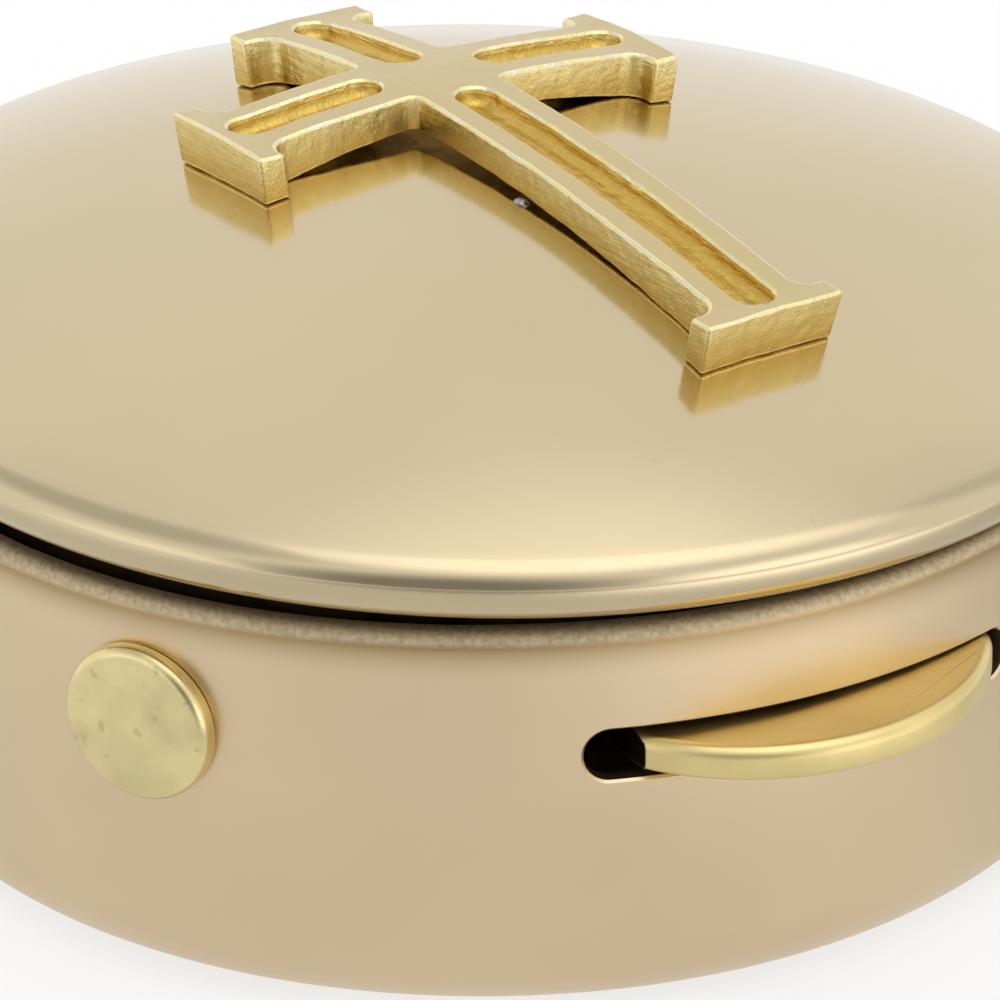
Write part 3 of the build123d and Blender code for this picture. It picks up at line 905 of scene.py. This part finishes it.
class PYX_OT_tab(bpy.types.Operator):
    """Cuts the crescent push tab from a round plate"""

    bl_idname = "pyx.tab"
    bl_label = "Push tab"

    def execute(self, context):
        settings = context.scene.pyx
        cup, tab = settings.cup, settings.tab
        middle, half = tab_middle(cup, tab), tab_half(cup, tab)
        middle_z = tab.low + tab.thick / 2
        piece = make(
            "tab", bpy.ops.mesh.primitive_cylinder_add,
            vertices=settings.steps, radius=tab.arc, depth=tab.thick, location=(middle, 0, middle_z),
        )
        bpy.ops.object.transform_apply(location=True)
        edit(piece)
        sides = ((tab.back, 0, 0), (-1, 0, 0)), ((0, half, 0), (0, 1, 0)), ((0, -half, 0), (0, -1, 0))
        for at, across in sides:
            bpy.ops.mesh.select_all(action="SELECT")
            bpy.ops.mesh.bisect(
                plane_co=at, plane_no=across, use_fill=True, clear_outer=True, threshold=MERGE
            )
        close()
        cut(piece, make(
            "hole_tool", bpy.ops.mesh.primitive_cube_add,
            size=1, location=((tab.hole_in + tab.hole_out) / 2, 0, middle_z),
            scale=(tab.hole_out - tab.hole_in, tab.hole_width, tab.thick * 2),
        ))
        for z, radius, count in ((tab.low + tab.thick, tab.edge_top, 6), (tab.low, tab.edge_low, 4)):
            pick(piece, "EDGE", lambda co: (
                abs(co.z - z) < TOUCH and abs(Vector((co.x - middle, co.y)).length - tab.arc) < TOUCH
            ))
            bpy.ops.mesh.bevel(offset=radius, segments=count, affect="EDGES")
            close()
        raised = Matrix.Translation((0, 0, middle_z))
        rolled = raised @ Matrix.Rotation(tab.roll, 4, "X") @ raised.inverted()
        settle(piece, Matrix.Rotation(tab.turn - pi / 2, 4, "Z") @ rolled, weighted=True)
        hand_over(piece, "latch", "tab_gilt", finish_named("Tab gilt", settings), "push_tab")
        return {"FINISHED"}


class PYX_OT_spring(bpy.types.Operator):
    """Bends the leaf spring from the rivet to the back of the tab"""

    bl_idname = "pyx.spring"
    bl_label = "Leaf spring"

    def execute(self, context):
        settings = context.scene.pyx
        cup, tab, rivet, spring = settings.cup, settings.tab, settings.rivet, settings.spring
        steps, edge = 8, 0.07 * MM
        left = tab_half(cup, tab) + spring.left_room
        pad_start, pad_radius = rivet.turn + spring.pad, cup.radius - cup.wall - spring.pad_gap
        straight = [
            outward(tab.turn) * tab.back + along(tab.turn) * offset for offset in (spring.right, -left)
        ]
        rise = self.sweep(
            straight[1], -along(tab.turn), outward(pad_start) * pad_radius, -along(pad_start)
        )
        face = [straight[0].lerp(straight[1], i / steps) for i in range(steps)] + rise
        for i in range(1, steps + 1):
            face.append(outward(pad_start - 2 * spring.pad * i / steps) * pad_radius)
        back = [point - self.aside(face, i) * spring.thick for i, point in enumerate(face)]
        low = upward(cup.slot_z - spring.height / 2)
        piece = outline("spring", [point + low for point in face + back[::-1]], True)
        raise_up(piece, spring.height)
        round_edges(piece, edge, segments=2, sharp=50)
        cut(piece, shank_tool(rivet, pad_radius, 4 * MM))
        settle(piece, sharp=35)
        dress(piece, finish_named("Spring brass", settings))
        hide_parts("leaf_spring")
        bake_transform(piece)
        return {"FINISHED"}

    @staticmethod
    def sweep(start, leave, stop, arrive, count=24):
        """Points of a smooth curve between two places with given directions."""
        span = (stop - start).length
        points = []
        for i in range(count + 1):
            t = i / count
            points.append(
                start * (2 * t**3 - 3 * t**2 + 1) + leave * span * (t**3 - 2 * t**2 + t)
                + stop * (3 * t**2 - 2 * t**3) + arrive * span * (t**3 - t**2)
            )
        return points

    @staticmethod
    def aside(path, i):
        """Unit vector across a path in plan, away from the cup's axis."""
        ahead = path[min(i + 1, len(path) - 1)] - path[max(i - 1, 0)]
        across = Vector((ahead.y, -ahead.x, 0)).normalized()
        return across if across.dot(path[i]) > 0 else -across


class PYX_OT_lid(bpy.types.Operator):
    """Turns the domed lid with its rolled edge"""

    bl_idname = "pyx.lid"
    bl_label = "Lid"

    def execute(self, context):
        settings = context.scene.pyx
        lid = settings.lid
        low = dome_low(lid)
        mid = (lid.radius - lid.bead, lid.bead)
        inside, gap = lid.dome - lid.sheet, lid.dome - lid.bead
        spread = asin(mid[0] / gap)
        ahead = (gap**2 + inside**2 - lid.bead**2) / (2 * gap)
        aside = sqrt(inside**2 - ahead**2)
        join = (
            ahead * sin(spread) - aside * cos(spread),
            low + ahead * cos(spread) + aside * sin(spread),
        )
        join_turn = atan2(join[1] - mid[1], join[0] - mid[0]) - 2 * pi
        inner_spread = asin(join[0] / inside)
        section = [(0, low + lid.dome)]
        section += arc((0, low), lid.dome, pi / 2, pi / 2 - spread, 76)[1:-1]
        section += arc(mid, lid.bead, pi / 2 - spread, join_turn, 60)
        section += arc((0, low), inside, pi / 2 - inner_spread, pi / 2, 40)[1:-1]
        section += [(0, low + inside)]
        piece = lathe("lid", section, settings.steps)
        settle(piece, lid_place(lid), sharp=50)
        hand_over(piece, "lid", "lid_gilt", finish_named("Lid gilt", settings), "lid_shell")
        return {"FINISHED"}


class PYX_OT_cross(bpy.types.Operator):
    """Models the cast cross flat and bends it over the dome"""

    bl_idname = "pyx.cross"
    bl_label = "Cross"

    def execute(self, context):
        settings = context.scene.pyx
        cross, lid = settings.cross, settings.lid
        tall, step = cross.high - cross.seat, 0.35 * MM
        piece = self.blank(cross, tall)
        round_edges(piece, cross.edge, segments=3, sharp=40)
        for turn, reach in self.arms(cross):
            cut(piece, self.groove_tool(cross, tall, turn, reach))
        slice_evenly(piece, 0, -cross.arm, cross.arm, step)
        slice_evenly(piece, 1, -cross.foot, cross.top, step)
        self.mark_wear_and_shade(piece.data, tall)
        self.bend(piece, cross, lid, tall)
        settle(piece, lid_place(lid), weighted=True)
        hand_over(piece, "lid", "cross_gilt", finish_named("Cross gilt", settings), "cross")
        return {"FINISHED"}

    @staticmethod
    def arms(cross):
        """Direction and length of each arm, round from the right."""
        return (0, cross.arm), (pi / 2, cross.top), (pi, cross.arm), (3 * pi / 2, cross.foot)

    def blank(self, cross, tall):
        """The cross's outline with its corners rounded, raised to its height."""
        half, end = cross.width / 2, cross.end_width / 2
        points, flares, crotches = [], [], []
        for turn, reach in self.arms(cross):
            spin = Matrix.Rotation(turn, 3, "Z")
            neck = reach - cross.end_thick
            corners = [(half, -half), (neck, -half), (neck, -end), (reach, -end)]
            corners += [(reach, end), (neck, end), (neck, half)]
            turned = [spin @ Vector((x, y, 0)) for x, y in corners]
            crotches.append(turned[0])
            flares += [turned[1], turned[6]]
            points += turned
        piece = outline("cross_cast", points, True)
        for places, radius, count in ((flares, cross.flare, 5), (crotches, cross.crotch, 4)):
            pick(piece, "VERT", lambda co: any((co - place).length < TOUCH for place in places))
            bpy.ops.mesh.bevel(offset=radius, segments=count, affect="VERTICES")
            close()
        raise_up(piece, tall)
        return piece

    @staticmethod
    def groove_tool(cross, tall, turn, reach):
        """A round-ended cutter with a rounded bottom and a flared mouth, turned along one arm."""
        radius = cross.groove / 2
        start = (cross.groove_in_top if reach == cross.top else cross.groove_in) + radius
        stop = reach - cross.groove_out - radius
        mouth = cross.groove_depth - cross.edge * 0.7
        tool = cutter("groove_tool", start, stop, radius, mouth, cross.edge * 3)
        pick(tool, "EDGE", lambda co: co.z < TOUCH)
        bpy.ops.mesh.bevel(offset=mouth * 0.7, segments=4, affect="EDGES")
        close()
        lift = Matrix.Translation((0, 0, tall - cross.groove_depth))
        tool.matrix_world = lift @ Matrix.Rotation(turn, 4, "Z")
        activate(tool)
        bpy.ops.object.transform_apply(location=True, rotation=True)
        return tool

    @staticmethod
    def mark_wear_and_shade(mesh, tall):
        """Stores which faces are rubbed, are edges or lie in hollows, and how low the sides go, for the
        finish's painted highlight on the edges and painted shade in the hollows and low on the sides.
        """
        flat, steep = 0.97, 0.15
        for name in WEAR_AND_SHADE:
            mesh.attributes.new(name, "FLOAT", "CORNER")
        marks = [mesh.attributes[name].data for name in WEAR_AND_SHADE]
        for face in mesh.polygons:
            high, up = face.center.z > tall * 0.9, face.normal.z
            grooved = abs(up) > steep and not high and face.center.z > tall * 0.2
            values = [high and up > flat, high and steep < up <= flat, grooved or up < -0.5]
            for corner in face.loop_indices:
                # Painted shade: the sides' mark grows toward the dome.
                if abs(up) <= steep and not high:
                    values[2] = 1 - mesh.vertices[mesh.loops[corner].vertex_index].co.z / tall
                for mark, value in zip(marks, values):
                    mark[corner].value = float(value)

    @staticmethod
    def bend(piece, cross, lid, tall):
        """Bends the flat cross over the dome and hollows its underside at the crossing."""
        noise.seed_set(CAST_SEED)
        low = dome_low(lid)
        firm, lumps, grains, end_reach = 0.95 * MM, 1.6 * MM, 0.55 * MM, 2.4 * MM
        for vertex in piece.data.vertices:
            x, y, z = vertex.co
            stray = noise.noise_vector(Vector((x, y, z)) / lumps) * cross.unevenness
            stray += noise.noise_vector(Vector((x, y, z)) / grains) * cross.unevenness * 0.5
            away = Vector((x, y)).length
            down = max(0.0, -y / cross.foot)
            hollow = 1 - (away / cross.relief_radius) ** 2
            if y < 0 and abs(y) > abs(x):
                hollow = max(hollow, 1 - away / cross.relief_foot)
            gap = cross.seat + cross.relief * max(0.0, hollow)
            reach = cross.arm if abs(x) > abs(y) else cross.top if y > 0 else cross.foot
            near_end = max(0.0, 1 - (reach - max(abs(x), abs(y))) / end_reach)
            top = cross.high - cross.dip * 4 * down * (1 - down) + cross.end_rise * near_end**2
            if z >= tall - firm:
                over = top - tall + z
            else:
                over = gap + (top - firm - gap) * z / (tall - firm)
            ray = Vector((x + stray.x, y + stray.y + cross.y, lid.dome)).normalized()
            vertex.co = ray * (lid.dome + over + stray.z * 0.3) + upward(low)


class PYX_OT_studs(bpy.types.Operator):
    """Turns the two studs that hold the cross, spread under the lid"""

    bl_idname = "pyx.studs"
    bl_label = "Studs"

    def execute(self, context):
        settings = context.scene.pyx
        lid = settings.lid
        low = dome_low(lid)
        shank, head, thick, edge = 0.8 * MM, 1.4 * MM, 0.5 * MM, 0.18 * MM
        room, proud = 0.05 * MM, 0.45 * MM
        pieces = []
        for y in (-11.0 * MM, 9.6 * MM):
            under = low + sqrt((lid.dome - lid.sheet) ** 2 - (abs(y) + head) ** 2) - room
            top = low + sqrt(lid.dome**2 - y * y) + proud
            section = [(0, under - thick)]
            section += arc((head - edge, under - thick + edge), edge, -pi / 2, 0, 6)
            section += [(head, under), (shank, under), (shank, top), (0, top)]
            piece = lathe("studs", section, 64)
            piece.data.transform(Matrix.Translation((0, y, 0)))
            pieces.append(piece)
        activate(pieces[0])
        pieces[1].select_set(True)
        bpy.ops.object.join()
        settle(pieces[0], lid_place(lid), sharp=35)
        hand_over(pieces[0], "lid", "inner_brass", finish_named("Inner brass", settings), "cross_studs")
        return {"FINISHED"}


class PYX_OT_solder(bpy.types.Operator):
    """Adds the small spot of solder beside the stem"""

    bl_idname = "pyx.solder"
    bl_label = "Solder spot"

    def execute(self, context):
        settings = context.scene.pyx
        lid = settings.lid
        x, y, radius, lumps = -2.15 * MM, -5.3 * MM, 0.28 * MM, 0.25 * MM
        piece = make("solder_spot", bpy.ops.mesh.primitive_ico_sphere_add, subdivisions=4, radius=radius)
        for vertex in piece.data.vertices:
            stray = noise.noise(vertex.co / lumps) * 0.35 + 1
            vertex.co = Vector((vertex.co.x * stray, vertex.co.y * stray * 1.3, vertex.co.z * 0.7))
        dome = dome_low(lid) + sqrt(lid.dome**2 - x * x - y * y)
        settle(piece, lid_place(lid) @ Matrix.Translation((x, y, dome)), sharp=60)
        hand_over(piece, "lid", "cross_gilt", finish_named("Solder", settings))
        return {"FINISHED"}


class PYX_OT_fittings(bpy.types.Operator):
    """Finishes the inner fittings and the hinge, whose shapes come with the frame"""

    bl_idname = "pyx.fittings"
    bl_label = "Fittings"

    def execute(self, context):
        settings = context.scene.pyx
        finishes = {
            "Hinge gilt": ("hinge_base_leaf", "hinge_lid_leaf", "hinge_pin"),
            "Inner brass": ("lid_bezel", "lid_catch", "rivet_burr"),
        }
        for name, nodes in finishes.items():
            for node in nodes:
                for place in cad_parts[node].material_slots:
                    place.material = finish_named(name, settings)
        return {"FINISHED"}


# Stage

class PYX_OT_stage(bpy.types.Operator):
    """Sets the floor, the soft lights, the white surroundings and the camera"""

    bl_idname = "pyx.stage"
    bl_label = "Stage"

    def execute(self, context):
        stage = context.scene.pyx.stage
        context.scene.view_settings.view_transform = "Standard"
        self.surroundings(context.scene)
        self.floor(stage)
        self.lights(stage)
        self.camera(context.scene, stage)
        return {"FINISHED"}

    @staticmethod
    def surroundings(scene):
        """Plain white surroundings."""
        world = scene.world = bpy.data.worlds.new("Studio")
        world.use_nodes = True
        shade = world.node_tree.nodes["Background"].inputs
        shade["Color"].default_value = WHITE
        shade["Strength"].default_value = 1.0

    @staticmethod
    def floor(stage):
        """A wide pale floor that stays white to the camera and keeps the shadow."""
        piece = make("floor", bpy.ops.mesh.primitive_plane_add, size=12, location=(0, 0, -0.02 * MM))
        edit(piece)
        bpy.ops.mesh.subdivide(number_cuts=3)
        close()
        bpy.ops.object.transform_apply(location=True)
        finish, tree = new_material("Floor")
        shader = tree.nodes["Principled BSDF"]
        shader.inputs["Base Color"].default_value = rgba(stage.floor)
        shader.inputs["Roughness"].default_value = 0.9
        path = add(tree, "ShaderNodeLightPath").outputs
        seen = maths(tree, "MAXIMUM", path["Is Camera Ray"], path["Is Glossy Ray"])
        seen = maths(tree, "MAXIMUM", seen, path["Is Transmission Ray"])
        show_glow(tree, maths(tree, "MULTIPLY", seen, 0.7), shader, 1.0)
        dress(piece, finish)

    @staticmethod
    def facing(azimuth, elevation, distance):
        """A place at a direction from the object, and the turn with which it faces the object."""
        place = outward(radians(azimuth), radians(elevation)) * distance + AIM
        return place, (place - AIM).to_track_quat("Z", "Y").to_euler()

    def lamp(self, name, azimuth, elevation, distance, wide, high, radiance):
        """A soft box that faces the object, its brightness given as seen in a mirror."""
        place, turned = self.facing(azimuth, elevation, distance)
        light = make(name, bpy.ops.object.light_add, type="AREA", location=place, rotation=turned)
        light.data.shape = "RECTANGLE"
        light.data.size, light.data.size_y = wide, high
        light.data.energy = radiance * pi * wide * high
        light.visible_camera = light.visible_glossy = False

    @staticmethod
    def card(name, place, turned, wide, high, shade):
        """A soft-edged card, seen only in the metal, that darkens or brightens what it mirrors."""
        piece = make(name, bpy.ops.mesh.primitive_plane_add, size=1, location=place, rotation=turned)
        piece.scale = (wide, high, 1)
        bpy.ops.object.transform_apply(location=True, rotation=True, scale=True)
        finish, tree = new_material(name)
        finish.cycles.emission_sampling = "NONE"
        spot = add(tree, "ShaderNodeTexCoord").outputs["UV"]
        away = vectors(tree, "DISTANCE", spot, (0.5, 0.5, 0.0))["Value"]
        fade = add(tree, "ShaderNodeMapRange", {
            "Value": away, "From Min": 0.5, "From Max": 0.12,
        }, interpolation_type="SMOOTHSTEP").outputs["Result"]
        show_glow(tree, fade, add(tree, "ShaderNodeBsdfTransparent"), shade)
        dress(piece, finish)
        piece.visible_camera = piece.visible_diffuse = piece.visible_shadow = False

    def lights(self, stage):
        """A soft box that lights the scene, and cards that shape the metal's reflections."""
        view = degrees(stage.azimuth)
        self.lamp("top_box", view + 25, elevation=68, distance=1.1, wide=0.7, high=0.5, radiance=1.2)
        for name, aside, rise, distance, wide, high, shade in STANDING_CARDS:
            place, turned = self.facing(view + aside, rise, distance)
            self.card(name, place, turned, wide, high, shade)
        for name, aside, distance, wide, deep, shade, lift in LYING_CARDS:
            turn = radians(view + aside)
            place = outward(turn) * distance + upward(lift)
            self.card(name, place, Matrix.Rotation(turn, 3, "Z").to_euler(), wide, deep, shade)

    @staticmethod
    def camera(scene, stage):
        """The camera at the photograph's place."""
        place = outward(stage.azimuth, stage.elevation) * stage.distance
        camera = make("camera", bpy.ops.object.camera_add, location=place)
        facing = (
            Matrix.Rotation(stage.azimuth + stage.turn, 3, "Z")
            @ Matrix.Rotation(pi / 2 - stage.pitch, 3, "X")
            @ Matrix.Rotation(stage.roll, 3, "Z")
        )
        camera.rotation_euler = facing.to_euler()
        camera.data.lens = stage.lens
        camera.data.sensor_width = 36.0
        camera.data.clip_start = 0.01
        scene.camera = camera


class PYX_PT_panel(bpy.types.Panel):
    """Lists the steps that build the pyx"""

    bl_idname = "PYX_PT_panel"
    bl_label = "Pyx"
    bl_space_type = "VIEW_3D"
    bl_region_type = "UI"
    bl_category = "Pyx"

    def draw(self, context):
        for operator in OPERATORS:
            self.layout.operator(operator.bl_idname)


OPERATORS = (
    PYX_OT_stage,
    PYX_OT_cup,
    PYX_OT_rivet,
    PYX_OT_tab,
    PYX_OT_spring,
    PYX_OT_lid,
    PYX_OT_cross,
    PYX_OT_studs,
    PYX_OT_solder,
    PYX_OT_fittings,
)
CLASSES = (
    PyxCup,
    PyxTab,
    PyxRivet,
    PyxSpring,
    PyxLid,
    PyxCross,
    PyxFinish,
    PyxStage,
    PyxSettings,
    *OPERATORS,
    PYX_PT_panel,
)


def register():
    for item in CLASSES:
        bpy.utils.register_class(item)
    bpy.types.Scene.pyx = PointerProperty(type=PyxSettings)


def unregister():
    del bpy.types.Scene.pyx
    for item in reversed(CLASSES):
        bpy.utils.unregister_class(item)


def main():
    register()
    bpy.ops.pyx.stage()
    bpy.ops.pyx.cup()
    bpy.ops.pyx.rivet()
    bpy.ops.pyx.tab()
    bpy.ops.pyx.spring()
    bpy.ops.pyx.lid()
    bpy.ops.pyx.cross()
    bpy.ops.pyx.studs()
    bpy.ops.pyx.solder()
    bpy.ops.pyx.fittings()


if __name__ == "__main__":
    main()
